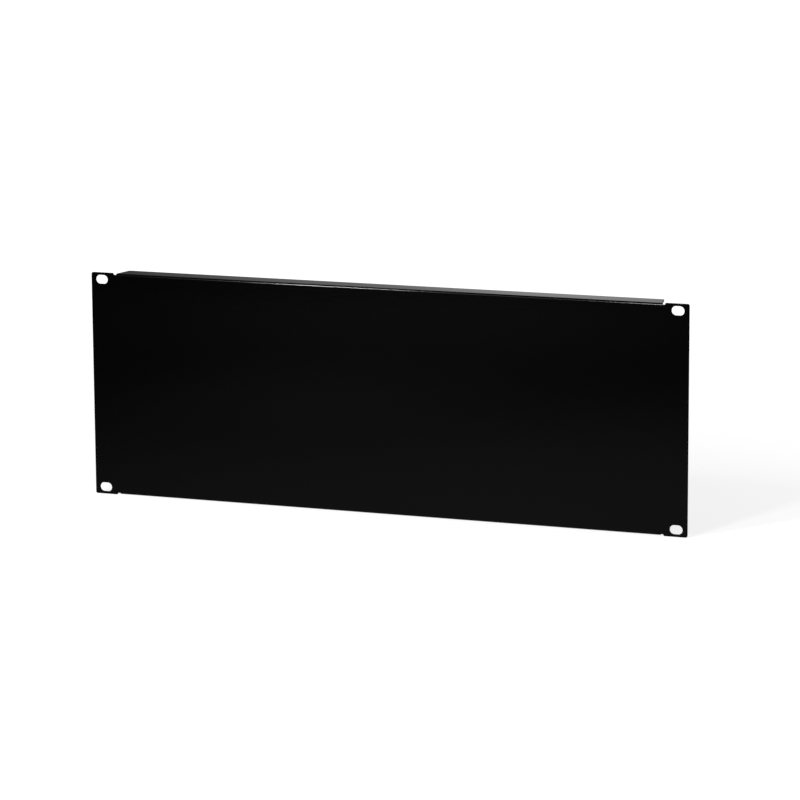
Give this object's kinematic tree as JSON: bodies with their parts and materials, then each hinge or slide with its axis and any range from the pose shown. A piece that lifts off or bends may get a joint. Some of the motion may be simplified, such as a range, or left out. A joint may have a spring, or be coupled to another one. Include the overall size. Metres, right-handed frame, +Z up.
{
  "type": "rack blanking panel",
  "caption": "Flat sheet panel with a flange folded back along the top and bottom and slotted ears, which closes an empty bay of an equipment rack.",
  "frame": {"origin": "centre of the slot pattern, on the mounting face at the back of the ears", "axes": "+X to the right seen from the front, +Y into the rack, +Z up"},
  "size_m": [0.4826, 0.018, 0.176],
  "materials": {
    "panel_coat": "black powder coat, satin, with a fine orange peel"
  },
  "bodies": {
    "root": {"blanking_panel": "panel_coat"}
  },
  "joints": []
}
